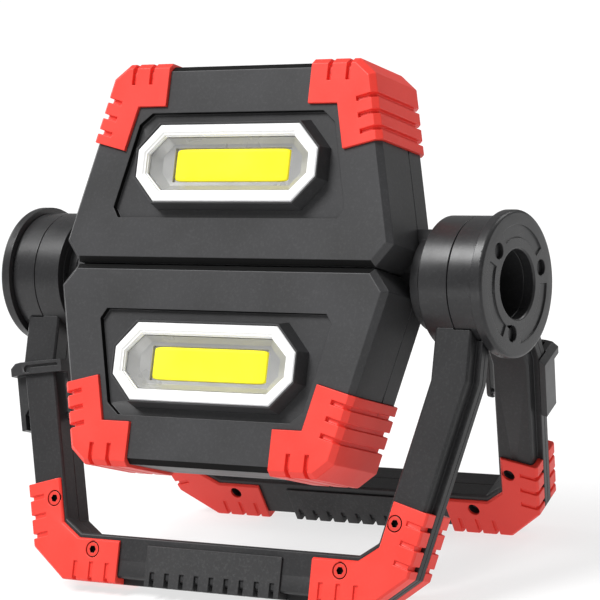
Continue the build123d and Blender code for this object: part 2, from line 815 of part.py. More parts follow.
def grip_slots_cut(plane):
    """Prisms for the slots in the grip's lower edge."""
    with BuildPart() as slots:
        with BuildSketch(plane.offset(-margin)):
            with Locations((0, stand_bottom)):
                with GridLocations(grip_slot_pitch, 1, grip_slots, 1):
                    Rectangle(grip_slot_width, 2 * grip_slot_deep)
        extrude(amount=stand_face + stand_guard_proud + 2 * margin)
    return slots.part


def ring_clearance(own):
    """What the hub takes out of a stand: close to its own rings, clear of the other stand's."""
    with BuildPart() as clearance:
        for side in (1, -1):
            wide = ring_radius + swing_gap
            inner, outer = own
            if inner > ring_a_in:
                add(hub_disc(side, collar_out - margin, inner, wide))
            add(hub_disc(side, inner, outer, ring_radius + ring_fit))
            add(hub_disc(side, outer, flange_in, wide))
    return clearance.part


def make_hook(name, arm_plane, near_leg, far_leg, pin_plane, pin_length):
    """Make one hanging hook: an outer leg, a slotted cross plate over the arm's face, an inner leg.

    In arm_plane the first direction runs outwards across the arm and the second down along it,
    from the pin. near_leg and far_leg are the first directions of the two legs' outer sides.
    """
    reach, beside = -hook_reach, arm_half_width + hook_gap
    leg = far_leg - hook_outer_thick
    cut, fall = hook_corner
    plate_low = stand_face + hook_gap
    plate_high = plate_low + hook_plate_thick
    plate_end = reach + hook_plate_tall
    run = hook_plate_fall * (beside - near_leg)
    clear_of_rib = stand_split + rib_half + hook_gap
    round_end = (hook_high - hook_low) / 2

    with BuildPart() as hook:
        # outer leg, its top corner cut off, and the filler beside the arm's front half
        with BuildSketch(arm_plane.offset(hook_low)):
            face_of([(leg, reach), (far_leg - cut, reach), (far_leg, reach + fall),
                     (far_leg, hook_tail), (leg, hook_tail)])
        extrude(amount=hook_high - hook_low)
        with BuildSketch(arm_plane.offset(clear_of_rib)):
            face_of([(beside, reach), (leg, reach), (leg, -hook_filler_end),
                     (beside + cut, -hook_filler_end), (beside, -hook_filler_end - cut)])
        extrude(amount=hook_high - clear_of_rib)
        # shoulder from the outer leg up to the cross plate
        with BuildSketch(arm_plane.offset(hook_high)):
            face_of([(beside, reach), (far_leg - cut, reach), (far_leg, reach + fall),
                     (far_leg, plate_end), (beside, plate_end)])
        extrude(amount=plate_high - hook_high)
        # cross plate, falling a little towards the inner leg
        with BuildSketch(arm_plane.offset(plate_low)):
            face_of([(beside, reach), (near_leg, reach + run),
                     (near_leg, plate_end + run), (beside, plate_end)])
        extrude(amount=hook_plate_thick)
        # inner leg with a rounded end
        near_side = near_leg + hook_inner_thick
        leg_start = arm_plane.from_local_coords(Vector(near_leg, 0, hook_low))
        leg_plane = Plane(origin=leg_start, x_dir=arm_plane.y_dir, z_dir=arm_plane.x_dir)
        top, end = reach + run, hook_tail
        with BuildSketch(leg_plane):
            face_of([(top, 0), (end - round_end, 0),
                     (end - round_end, 2 * round_end), (top, 2 * round_end)])
            with Locations((end - round_end, round_end)):
                Circle(round_end)
        extrude(amount=hook_inner_thick)
        with BuildSketch(arm_plane.offset(hook_high)):
            face_of([(near_leg, reach + run), (near_side, reach + run),
                     (near_side, plate_end + run), (near_leg, plate_end + run)])
        extrude(amount=plate_high - hook_high)
        # the slot in the cross plate, with a round eye at its outer end
        eye, end = (hook_slot_eye_at[0], reach + hook_slot_eye_at[1]), near_leg + hook_inner_thick
        drop = hook_plate_fall * (eye[0] - end)
        middle = eye[1] - hook_slot_eye + hook_slot_wide / 2
        with BuildSketch(arm_plane.offset(plate_high - hook_slot_deep)):
            with Locations(eye):
                Circle(hook_slot_eye)
            half = hook_slot_wide / 2
            face_of([(eye[0], middle - half), (end, middle - half + drop),
                     (end, middle + half + drop), (eye[0], middle + half)])
        extrude(amount=hook_slot_deep, mode=Mode.SUBTRACT)
        add(round_bar(pin_plane, [(0, 0)], hook_pin_radius + hook_pin_gap, 0, pin_length),
            mode=Mode.SUBTRACT)
    save(hook.part, f"{name}_hook")


def make_stand(name, plane, own):
    """Make every piece of one stand; own is the span of its rings along the hub axis."""
    clearance = ring_clearance(own)
    whole = stand_block(plane, 0, 0, stand_back, stand_face, stand_edge, stand_edge)
    rib_low, rib_high = stand_split - rib_half, stand_split + rib_half
    rib = stand_block(plane, rib_proud, 0, rib_low, rib_high)
    low, high = stand_back + stand_wall, stand_face - stand_wall
    hollow = stand_block(plane, -stand_wall, stand_wall, low, high)
    places = [(side * u, s) for u, s in stand_screws for side in (1, -1)]
    arm_x = plane.x_dir * cos(radians(arm_tilt)) + plane.y_dir * sin(radians(arm_tilt))
    pivot_at = plane.from_local_coords(Vector(hook_centre, hook_pivot, 0))
    arm_plane = Plane(origin=pivot_at, x_dir=arm_x, z_dir=plane.z_dir)
    near_leg = -(arm_half_width + hook_inner_gap + hook_inner_thick)
    far_leg = arm_half_width + rib_proud + hook_gap + hook_outer_thick
    pin_in, pin_out = near_leg + hook_pin_cover, far_leg - hook_pin_cover
    pin_start = arm_plane.from_local_coords(Vector(pin_in, 0, stand_split))
    pin_plane = Plane(origin=pin_start, x_dir=arm_plane.y_dir, z_dir=arm_plane.x_dir)
    pin_hole = round_bar(pin_plane, [(0, 0)], hook_pin_radius + thread_fit, 0, pin_out - pin_in)
    boss_start = arm_plane.from_local_coords(Vector(-arm_half_width, 0, stand_split))
    boss_plane = Plane(origin=boss_start, x_dir=arm_plane.y_dir, z_dir=arm_plane.x_dir)
    pin_boss = round_bar(boss_plane, [(0, 0)], 2 * hook_pin_radius, 0, 2 * arm_half_width)
    screw_boss = round_bar(plane, places, stand_boss, stand_back, stand_face)
    bosses = (pin_boss + screw_boss) & whole

    for label, base, top in (
        ("outer", stand_split, stand_face + margin),
        ("inner", stand_back - margin, stand_split),
    ):
        with BuildPart() as shell:
            with BuildSketch(plane.offset(base)):
                Rectangle(4 * arm_outer_half, 4 * stand_bottom)
            extrude(amount=top - base)
            add(whole + rib, mode=Mode.INTERSECT)
            add(hollow, mode=Mode.SUBTRACT)
            add(bosses & prism(plane, everywhere, base, top))
            add(pin_hole, mode=Mode.SUBTRACT)
            add(clearance, mode=Mode.SUBTRACT)
            if label == "outer":
                hole = stand_screw_shank + screw_hole_fit
                add(round_bar(plane, places, hole, 0, top), mode=Mode.SUBTRACT)
                sunk = round_bar(plane, places, stand_counterbore, stand_screw_seat, top)
                add(sunk, mode=Mode.SUBTRACT)
            else:
                hole = stand_screw_shank + thread_fit
                add(round_bar(plane, places, hole, 0, stand_face), mode=Mode.SUBTRACT)
                wide = round_bar(plane, places, stand_back_hole, 0, stand_thread_start)
                add(wide, mode=Mode.SUBTRACT)
        save(shell.part, f"{name}_{label}_shell")

    # Corner guards, outside and inside the rib
    guard_face = stand_face + stand_guard_proud
    guard_back = stand_back - stand_guard_proud
    deep = stand_notch_deep
    floor_grow = rib_proud - 2 * deep
    notches = foot_notches(plane)
    beyond = stand_face + 3 * margin
    ground = prism(Plane.XY, everywhere, -stand_bottom, 0)
    for label, base, top, edge, edge_low in (
        ("outer", rib_high + thread_fit, guard_face, stand_edge, 0),
        ("inner", guard_back, rib_low - thread_fit, 0, stand_edge),
    ):
        inset = stand_guard_inset
        skin = stand_block(plane, rib_proud, inset, base, top, edge, edge_low, stand_guard_drop)
        low = base - margin if label == "outer" else guard_back + deep
        high = guard_face - deep if label == "outer" else top + margin
        notch_floor = stand_block(plane, floor_grow, 0, low, high)
        hole = stand_counterbore if label == "outer" else stand_back_hole
        for side in (1, -1):
            with BuildPart() as guard:
                add(skin)
                add(prism(plane, foot_corner(side), -margin, beyond), mode=Mode.INTERSECT)
                add(whole, mode=Mode.SUBTRACT)
                add(notches - notch_floor, mode=Mode.SUBTRACT)
                add(round_bar(plane, places, hole, -margin, beyond), mode=Mode.SUBTRACT)
                add(ground, mode=Mode.SUBTRACT)
            hand = "right" if side * plane.x_dir.X > 0 else "left"
            save(guard.part, f"{name}_{label}_{hand}_guard")

    # Grips: slotted strips along the bar, outside and inside the rib
    with BuildPart() as grips:
        for base, top, edge, edge_low in (
            (rib_high + thread_fit, stand_face + grip_proud, grip_proud / 2, 0),
            (stand_back - grip_proud, rib_low - thread_fit, 0, grip_proud / 2),
        ):
            skin = stand_block(plane, rib_proud, 0, base, top, edge, edge_low)
            bar_half = [(grip_half, stand_bottom + margin), (grip_half, stand_bottom - grip_reach)]
            add((skin & prism(plane, mirrored(bar_half), -margin, beyond)) - whole)
        add(grip_slots_cut(plane), mode=Mode.SUBTRACT)
    save(grips.part, f"{name}_grips")

    # Socket screws
    with BuildPart() as screws:
        add(round_bar(plane, places, stand_screw_head, stand_screw_seat, stand_screw_top))
        add(round_bar(plane, places, stand_screw_shank, stand_screw_end, stand_screw_seat))
        with BuildSketch(plane.offset(stand_screw_top)):
            with Locations(*places):
                RegularPolygon(stand_socket_flats / 2, 6, major_radius=False)
        extrude(amount=-stand_socket_deep, mode=Mode.SUBTRACT)
    save(screws.part, f"{name}_screws")

    # Rings on the barrels, each with a tongue inside its arm
    inner, outer = own
    near = max(inner, arm_inner_half + stand_wall) + tongue_slack
    far = min(outer, arm_outer_half - stand_wall) - tongue_slack
    tongue_start = barrel_radius + 2 * margin
    with BuildPart() as rings:
        for side in (1, -1):
            with BuildSketch(plane.offset(stand_back + stand_wall + tongue_slack)):
                with Locations((side * (near + far) / 2, (tongue_start + tongue_end) / 2)):
                    Rectangle(far - near, tongue_end - tongue_start)
            extrude(amount=stand_face - stand_back - 2 * stand_wall - 2 * tongue_slack)
            add(hub_disc(side, inner, outer, ring_radius, barrel_radius + running_gap))
    save(rings.part, f"{name}_rings")

    make_hook(name, arm_plane, near_leg, far_leg, pin_plane, pin_out - pin_in)

    # Hook pin
    with BuildPart() as pin:
        add(round_bar(pin_plane, [(0, 0)], hook_pin_radius, 0, pin_out - pin_in))
    save(pin.part, f"{name}_hook_pin")


make_stand("front_stand", front_plane, (ring_a_in, ring_a_out))
make_stand("rear_stand", rear_plane, (ring_b_in, ring_b_out))
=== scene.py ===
"""Looks for the folding twin-head work light: finishes, rounded mouldings, lamp units and light."""
import json
import math

import bpy
import bmesh
import numpy as np
from mathutils import Matrix, Vector


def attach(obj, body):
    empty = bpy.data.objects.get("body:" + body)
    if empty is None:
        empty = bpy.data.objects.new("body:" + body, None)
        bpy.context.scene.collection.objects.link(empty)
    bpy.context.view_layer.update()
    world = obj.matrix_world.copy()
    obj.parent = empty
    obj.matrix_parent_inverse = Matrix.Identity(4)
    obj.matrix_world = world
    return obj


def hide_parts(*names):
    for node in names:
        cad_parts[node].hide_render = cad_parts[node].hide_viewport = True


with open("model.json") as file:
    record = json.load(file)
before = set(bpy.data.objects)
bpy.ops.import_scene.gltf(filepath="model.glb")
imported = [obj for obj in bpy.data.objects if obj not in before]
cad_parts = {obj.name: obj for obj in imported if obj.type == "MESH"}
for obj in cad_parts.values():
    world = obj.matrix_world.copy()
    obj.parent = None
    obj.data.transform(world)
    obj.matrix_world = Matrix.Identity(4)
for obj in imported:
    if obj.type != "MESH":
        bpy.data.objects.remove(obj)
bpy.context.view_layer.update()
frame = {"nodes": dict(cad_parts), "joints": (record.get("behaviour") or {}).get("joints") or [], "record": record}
MM = 0.001
JOINTS = {joint["name"]: joint for joint in frame["joints"]}
HUB = Vector(JOINTS["upper_head_fold"]["pos_m"])
FACE_NORMAL = Vector(JOINTS["upper_button_press"]["axis"])
SLOTS = {part["node"]: part["material_slot"] for part in frame["record"]["subparts"]}
BODIES = frame["record"]["behaviour"]["bodies"]
BODY_OF = {node: body for body, nodes in BODIES.items() for node in nodes}


# ---------------------------------------------------------------- camera, floor and light

CAMERA_AT = Vector((0.6185, -0.88250, 0.21351)) + HUB
CAMERA_TURN = 34.529        # degrees to the left of straight ahead
CAMERA_DROP = 11.366        # degrees below level
CAMERA_ROLL = 6.496         # degrees, leaning to its left
CAMERA_LENS = 171.65
CAMERA_SHIFT = (0.0130, -0.0265)
CAMERA_CLIP = (0.05, 20.0)
SENSOR_WIDTH = 36.0
SKY_LIGHT = 0.26            # the surround is seen as white, but lights the lamp this much
FLOOR_REACH = 6.0
FLOOR_GREY = 0.27           # its paint
FLOOR_GLOW = 0.72           # its own light, as from a lit table
KEY_AT, KEY_STRENGTH, KEY_SPREAD = (-0.5, -0.6, 1.2), 3.6, 28
# Each softbox: where it is, its width and height, and its power
SOFTBOXES = {
    "left_card": ((-1.1, 0.1, 0.45), (0.35, 1.1), 5),
    "back_card": ((0.5, 0.8, 0.9), (0.3, 0.9), 4),
    "low_card": ((0.1, -0.9, 0.03), (1.2, 0.3), 2),
}


def make_camera():
    """A long lens at the front right, a little above the hub, turned a little on its own axis."""
    lens = bpy.data.cameras.new("camera")
    lens.lens = CAMERA_LENS
    lens.sensor_width = SENSOR_WIDTH
    lens.shift_x, lens.shift_y = CAMERA_SHIFT
    lens.clip_start, lens.clip_end = CAMERA_CLIP
    camera = bpy.data.objects.new("camera", lens)
    turn = Matrix.Rotation(math.radians(CAMERA_TURN), 4, "Z")
    drop = Matrix.Rotation(math.radians(90 - CAMERA_DROP), 4, "X")
    roll = Matrix.Rotation(math.radians(-CAMERA_ROLL), 4, "Z")
    camera.matrix_world = Matrix.Translation(CAMERA_AT) @ turn @ drop @ roll
    bpy.context.scene.collection.objects.link(camera)
    bpy.context.scene.camera = camera


def aimed(name, data, place, aim):
    """Link a light at a place and turn it towards a point."""
    lamp = bpy.data.objects.new(name, data)
    lamp.location = place
    lamp.rotation_euler = (Vector(aim) - Vector(place)).to_track_quat("-Z", "Y").to_euler()
    bpy.context.scene.collection.objects.link(lamp)


def make_softbox(name, place, size, power):
    """A long softbox aimed at the middle of the lamp."""
    data = bpy.data.lights.new(name, "AREA")
    data.shape = "RECTANGLE"
    data.size, data.size_y = size
    data.energy = power
    aimed(name, data, place, HUB)


def make_key(place, strength, spread):
    """The large, even main light."""
    data = bpy.data.lights.new("key", "SUN")
    data.energy = strength
    data.angle = math.radians(spread)
    aimed("key", data, place, (0, 0, 0))


def make_stage():
    """A plain pale floor in an even white surround."""
    mesh = bpy.data.meshes.new("floor")
    reach = FLOOR_REACH
    corners = [(-reach, -reach, 0), (reach, -reach, 0), (reach, reach, 0), (-reach, reach, 0)]
    mesh.from_pydata(corners, [], [(0, 1, 2, 3)])
    floor = bpy.data.objects.new("floor", mesh)
    bpy.context.scene.collection.objects.link(floor)
    paint = bpy.data.materials.new("floor_paint")
    paint.use_nodes = True
    shader = paint.node_tree.nodes["Principled BSDF"]
    shader.inputs["Base Color"].default_value = (FLOOR_GREY, FLOOR_GREY, FLOOR_GREY, 1)
    shader.inputs["Roughness"].default_value = 0.9
    shader.inputs["Specular IOR Level"].default_value = 0.1
    shader.inputs["Emission Color"].default_value = (1, 1, 1, 1)
    shader.inputs["Emission Strength"].default_value = FLOOR_GLOW
    mesh.materials.append(paint)
    world = bpy.data.worlds.new("surround")
    bpy.context.scene.world = world
    world.use_nodes = True
    sky = world.node_tree.nodes["Background"]
    sky.inputs["Color"].default_value = (1, 1, 1, 1)
    seen = world.node_tree.nodes.new("ShaderNodeLightPath")
    strength = world.node_tree.nodes.new("ShaderNodeMapRange")
    strength.inputs["To Min"].default_value = SKY_LIGHT
    world.node_tree.links.new(seen.outputs["Is Camera Ray"], strength.inputs["Value"])
    world.node_tree.links.new(strength.outputs["Result"], sky.inputs["Strength"])


make_camera()
make_stage()
make_key(KEY_AT, KEY_STRENGTH, KEY_SPREAD)
for name, (place, size, power) in SOFTBOXES.items():
    make_softbox(name, place, size, power)
bpy.context.scene.view_settings.view_transform = "Standard"


# ---------------------------------------------------------------- shared effects

DRIFT_SCALE = 60.0          # roughness drift, in features to the metre
CLOUD_SCALE = 35.0          # colour drift
SPECK_SCALE = 900.0         # dust
DUST_COLOUR = (0.55, 0.55, 0.55, 1)
BRUSH_STRETCH = (60.0, 2500.0, 2500.0)
BUMP_STRENGTH = 0.5

def new_group(name, inputs, outputs):
    """A shader group with float, vector or colour sockets; gives its tree and its two ends."""
    tree = bpy.data.node_groups.new(name, "ShaderNodeTree")
    for label, kind, value in inputs:
        socket = tree.interface.new_socket(label, in_out="INPUT", socket_type="NodeSocket" + kind)
        if value is not None:
            socket.default_value = value
    for label, kind in outputs:
        tree.interface.new_socket(label, in_out="OUTPUT", socket_type="NodeSocket" + kind)
    return tree, tree.nodes.new("NodeGroupInput"), tree.nodes.new("NodeGroupOutput")


def add_noise(tree, place, scale, detail=2.0, roughness=0.5):
    """A noise texture at a place; scale is a number or a socket."""
    noise = tree.nodes.new("ShaderNodeTexNoise")
    noise.inputs["Detail"].default_value = detail
    noise.inputs["Roughness"].default_value = roughness
    tree.links.new(place, noise.inputs["Vector"])
    if isinstance(scale, float):
        noise.inputs["Scale"].default_value = scale
    else:
        tree.links.new(scale, noise.inputs["Scale"])
    return noise.outputs["Fac"]


def add_range(tree, value, low, high, from_low=0.35, from_high=0.65):
    """Stretch a value onto another range; low and high are numbers or sockets."""
    node = tree.nodes.new("ShaderNodeMapRange")
    node.inputs["From Min"].default_value = from_low
    node.inputs["From Max"].default_value = from_high
    tree.links.new(value, node.inputs["Value"])
    for label, end in (("To Min", low), ("To Max", high)):
        if isinstance(end, float):
            node.inputs[label].default_value = end
        else:
            tree.links.new(end, node.inputs[label])
    return node.outputs["Result"]


def add_mix(tree, factor, first, second):
    """Mix two colours by a factor."""
    mix = tree.nodes.new("ShaderNodeMix")
    mix.data_type = "RGBA"
    tree.links.new(factor, mix.inputs[0])
    for index, colour in ((6, first), (7, second)):
        if isinstance(colour, tuple):
            mix.inputs[index].default_value = colour
        else:
            tree.links.new(colour, mix.inputs[index])
    return mix.outputs[2]


def make_tool_grain():
    """Spark-eroded tool texture: fine height grain, and roughness that drifts a little."""
    tree, start, end = new_group(
        "tool_grain",
        [("Place", "Vector", None), ("Scale", "Float", 3000.0), ("Smooth", "Float", 0.4),
         ("Rough", "Float", 0.5)],
        [("Roughness", "Float"), ("Height", "Float")],
    )
    fine = add_noise(tree, start.outputs["Place"], start.outputs["Scale"], 3.0, 0.6)
    broad = add_noise(tree, start.outputs["Place"], DRIFT_SCALE, 3.0, 0.6)
    rough = add_range(tree, broad, start.outputs["Smooth"], start.outputs["Rough"])
    tree.links.new(rough, end.inputs["Roughness"])
    tree.links.new(fine, end.inputs["Height"])
    return tree


def make_colour_drift():
    """Two near colours mixed by broad soft clouds, with fine pale dust on top."""
    tree, start, end = new_group(
        "colour_drift",
        [("Place", "Vector", None), ("First", "Color", None), ("Second", "Color", None),
         ("Dust", "Float", 0.03)],
        [("Color", "Color")],
    )
    clouds = add_range(tree, add_noise(tree, start.outputs["Place"], CLOUD_SCALE, 4.0), 0.0, 1.0)
    base = add_mix(tree, clouds, start.outputs["First"], start.outputs["Second"])
    specks = add_noise(tree, start.outputs["Place"], SPECK_SCALE, 5.0, 0.7)
    amount = add_range(tree, specks, 0.0, start.outputs["Dust"], 0.5, 0.75)
    dusty = add_mix(tree, amount, base, DUST_COLOUR)
    tree.links.new(dusty, end.inputs["Color"])
    return tree


def make_brushing():
    """Fine lines along one direction, for drawn and turned metal."""
    tree, start, end = new_group(
        "brushing",
        [("Place", "Vector", None), ("Smooth", "Float", 0.2), ("Rough", "Float", 0.4)],
        [("Roughness", "Float"), ("Height", "Float")],
    )
    stretch = tree.nodes.new("ShaderNodeMapping")
    stretch.inputs["Scale"].default_value = BRUSH_STRETCH
    tree.links.new(start.outputs["Place"], stretch.inputs["Vector"])
    lines = add_noise(tree, stretch.outputs["Vector"], 1.0, 3.0)
    rough = add_range(tree, lines, start.outputs["Smooth"], start.outputs["Rough"])
    tree.links.new(rough, end.inputs["Roughness"])
    tree.links.new(lines, end.inputs["Height"])
    return tree


GRAIN, DRIFT, BRUSHING = make_tool_grain(), make_colour_drift(), make_brushing()


# ---------------------------------------------------------------- finishes

def place_group(tree, group, **values):
    """Put a shared effect into a material, with its own values."""
    node = tree.nodes.new("ShaderNodeGroup")
    node.node_tree = group
    for label, value in values.items():
        node.inputs[label].default_value = value
    where = next((n for n in tree.nodes if n.type == "TEX_COORD"), None)
    where = where or tree.nodes.new("ShaderNodeTexCoord")
    tree.links.new(where.outputs["Object"], node.inputs["Place"])
    return node


def make_finish(name, first, second, smooth, rough, scale=3000.0, bump=0.02, dust=0.03,
                surface=GRAIN, **plain):
    """A finish: drifting colour, drifting roughness and a fine bump, its depth in millimetres.

    plain sets the shader's own sockets.
    """
    paint = bpy.data.materials.new(name)
    paint.use_nodes = True
    tree = paint.node_tree
    shader = tree.nodes["Principled BSDF"]
    colour = place_group(tree, DRIFT, First=(*first, 1), Second=(*second, 1), Dust=dust)
    tree.links.new(colour.outputs["Color"], shader.inputs["Base Color"])
    skin = place_group(tree, surface, Smooth=smooth, Rough=rough)
    if surface is GRAIN:
        skin.inputs["Scale"].default_value = scale
    tree.links.new(skin.outputs["Roughness"], shader.inputs["Roughness"])
    relief = tree.nodes.new("ShaderNodeBump")
    relief.inputs["Strength"].default_value = BUMP_STRENGTH
    relief.inputs["Distance"].default_value = bump * MM
    tree.links.new(skin.outputs["Height"], relief.inputs["Height"])
    tree.links.new(relief.outputs["Normal"], shader.inputs["Normal"])
    for label, value in plain.items():
        shader.inputs[label.replace("_", " ")].default_value = value
    return paint


def make_phosphor():
    """Yellow phosphor gel: fine grains, a little light of its own, and a soft gloss."""
    paint = make_finish("phosphor_gel", (1.0, 0.93, 0.03), (1.0, 0.86, 0.015), 0.35, 0.5,
                        scale=1500.0, bump=0.05, dust=0.0, Emission_Strength=0.3,
                        Specular_IOR_Level=0.1)
    tree = paint.node_tree
    shader = tree.nodes["Principled BSDF"]
    colour = shader.inputs["Base Color"].links[0].from_socket
    tree.links.new(colour, shader.inputs["Emission Color"])
    return paint


def make_clear():
    """Clear lens: nearly invisible, with a faint gloss."""
    paint = bpy.data.materials.new("clear_lens_plastic")
    paint.use_nodes = True
    tree = paint.node_tree
    shader = tree.nodes["Principled BSDF"]
    shader.inputs["Base Color"].default_value = (0.3, 0.31, 0.32, 1)
    smears = place_group(tree, GRAIN, Scale=40.0, Smooth=0.04, Rough=0.1)
    tree.links.new(smears.outputs["Roughness"], shader.inputs["Roughness"])
    faint = add_range(tree, smears.outputs["Height"], 0.015, 0.03)
    tree.links.new(faint, shader.inputs["Alpha"])
    return paint


BLACK, DEEP = (0.038, 0.038, 0.04), (0.031, 0.031, 0.032)
PLASTIC = {"Specular_IOR_Level": 0.35}
FINISHES = {
    "black_shell": make_finish("textured_black_shell", BLACK, DEEP, 0.41, 0.45, **PLASTIC),
    "black_hub": make_finish("satin_black_hub", (0.024, 0.024, 0.025),
                             (0.018, 0.018, 0.019), 0.26, 0.34, bump=0.01, **PLASTIC),
    "black_hook": make_finish("satin_black_hook", DEEP, (0.028, 0.028, 0.029), 0.3, 0.4,
                              bump=0.012, **PLASTIC),
    "stand_shell": make_finish("textured_black_stand", (0.021, 0.021, 0.022),
                               (0.016, 0.016, 0.017), 0.4, 0.44, **PLASTIC),
    "red_guard": make_finish("soft_red_guard", (0.83, 0.052, 0.036), (0.79, 0.044, 0.03), 0.38,
                             0.5, bump=0.025, dust=0.015, **PLASTIC),
    "rubber_grip": make_finish("dark_rubber_grip", (0.028, 0.028, 0.029), (0.022, 0.022, 0.023),
                               0.5, 0.62, scale=2200.0, bump=0.04, dust=0.05, **PLASTIC),
    "rubber_button": make_finish("rubber_button_skin", (0.04, 0.04, 0.042), (0.03, 0.03, 0.031),
                                 0.5, 0.6, bump=0.03, **PLASTIC),
    "white_frame": make_finish("white_lamp_frame", (0.9, 0.9, 0.9), (0.86, 0.86, 0.865), 0.25,
                               0.35, bump=0.01, dust=0.01),
    "grey_reflector": make_finish("silver_tray", (0.42, 0.42, 0.41), (0.36, 0.36, 0.355), 0.25,
                                  0.38, scale=1200.0, bump=0.02, Metallic=0.35),
    # Painted shade: a near-black finish put on the heads' recess walls and the stands' screw sockets in place of
    # their shadow
    "hollow": make_finish("painted_shade_hollow", (0.006, 0.006, 0.006), (0.004, 0.004, 0.004),
                          0.55, 0.65, dust=0.0, Specular_IOR_Level=0.1),
    "yellow_emitter": make_phosphor(),
    "clear_lens": make_clear(),
    "bare_aluminium": make_finish("milled_aluminium", (0.72, 0.73, 0.75), (0.66, 0.67, 0.69),
                                  0.25, 0.4, surface=BRUSHING, Metallic=1.0),
    "cell_wrap": make_finish("blue_cell_wrap", (0.08, 0.24, 0.46), (0.06, 0.2, 0.4), 0.2, 0.3,
                             bump=0.01),
    "circuit_board": make_finish("green_solder_mask", (0.02, 0.2, 0.08), (0.015, 0.16, 0.06),
                                 0.25, 0.35, bump=0.02),
    "steel_screw": make_finish("plated_steel", (0.55, 0.55, 0.57), (0.48, 0.48, 0.5), 0.22, 0.36,
                               surface=BRUSHING, Metallic=1.0),
    "black_screw": make_finish("black_oxide_steel", (0.02, 0.02, 0.021), (0.015, 0.015, 0.016),
                               0.3, 0.42, bump=0.01, Metallic=0.6),
    "red_screw": make_finish("red_lacquered_screw", (0.72, 0.05, 0.035), (0.6, 0.04, 0.028), 0.25,
                             0.36, bump=0.01),
}


# ---------------------------------------------------------------- mouldings with rounded edges

ROUNDING = {
    "black_shell": 0.32, "black_hub": 0.28, "black_hook": 0.22, "red_guard": 0.3,
    "rubber_grip": 0.28, "rubber_button": 0.35,
    "red_screw": 0.15, "black_screw": 0.12, "steel_screw": 0.12,
}
# Where the shade is painted: the band of the heads' recess walls, and the stands' screws below their tops
RECESS_FLOOR, RECESS_RIM = 30.75, 32.45     # distances out of a head's face
RECESS_REACH = 53.5                         # from the middle of the head to the recess's sides
SCREW_TOP = 17.1                            # just under the top of the stands' screws
STAND_LEAN = 21.8                           # degrees from the vertical
MERGE = 2e-6
BEVEL_SEGMENTS = 2
FLAT_WITHIN = math.radians(0.4)
CREASE = math.radians(24)


def finish_piece(piece, node, slot):
    """Give a piece its finish, its slot and its body, and let it stand for its CAD node."""
    bpy.context.scene.collection.objects.link(piece)
    piece.data.materials.clear()
    stand = slot == "black_shell" and "stand" in node
    piece.data.materials.append(FINISHES["stand_shell" if stand else slot])
    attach(piece, BODY_OF[node])
    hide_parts(node)


def add_rounding(piece, width):
    """Round every crease of a piece by a width in millimetres."""
    piece.data.shade_smooth()
    piece.data.set_sharp_from_angle(angle=CREASE)
    soften = piece.modifiers.new("rounding", "BEVEL")
    soften.width = width * MM
    soften.segments = BEVEL_SEGMENTS
    soften.limit_method = "ANGLE"
    soften.angle_limit = CREASE
    soften.use_clamp_overlap = False
    soften.harden_normals = True


def make_moulding(node):
    """A CAD piece merged into whole faces, with its edges rounded as a mould leaves them."""
    mesh = frame["nodes"][node].data.copy()
    mesh.name = f"{node}_moulding"
    work = bmesh.new()
    work.from_mesh(mesh)
    bmesh.ops.remove_doubles(work, verts=work.verts, dist=MERGE)
    bmesh.ops.dissolve_limit(work, angle_limit=FLAT_WITHIN, verts=work.verts, edges=work.edges)
    work.to_mesh(mesh)
    work.free()
    piece = bpy.data.objects.new(mesh.name, mesh)
    add_rounding(piece, ROUNDING[SLOTS[node]])
    finish_piece(piece, node, SLOTS[node])
    # Painted shade on the recess walls of the front cases and in the stands' screw sockets
    if node.endswith("front_case"):
        paint_hollow_shade(piece, FACE_NORMAL, RECESS_FLOOR, RECESS_RIM, RECESS_REACH)
    elif node.endswith("stand_screws"):
        lean = math.radians(STAND_LEAN)
        side = -1.0 if node.startswith("front") else 1.0
        out = Vector((0, side * math.cos(lean), math.sin(lean)))
        paint_hollow_shade(piece, out, 0.0, SCREW_TOP, None)


def paint_hollow_shade(piece, out, low, high, reach):
    """Paint shade on the faces between two distances out of the piece's face: they get the near-black hollow
    finish in place of their shadow.

    reach, where it is given, keeps to the faces nearer the middle than that.
    """
    mesh = piece.data
    centres = np.empty(3 * len(mesh.polygons))
    mesh.polygons.foreach_get("center", centres)
    centres = (centres.reshape(-1, 3) - np.array(HUB)) / MM
    height = centres @ np.array(out)
    in_painted_shade = (height > low) & (height < high)
    if reach is not None:
        in_painted_shade &= np.abs(centres[:, 0]) < reach
    mesh.materials.append(FINISHES["hollow"])
    mesh.polygons.foreach_set("material_index", in_painted_shade.astype(np.int32))


# ---------------------------------------------------------------- lamp units

LAMP_CENTRE = 38.1          # from the hub axis to the middle of each lamp unit
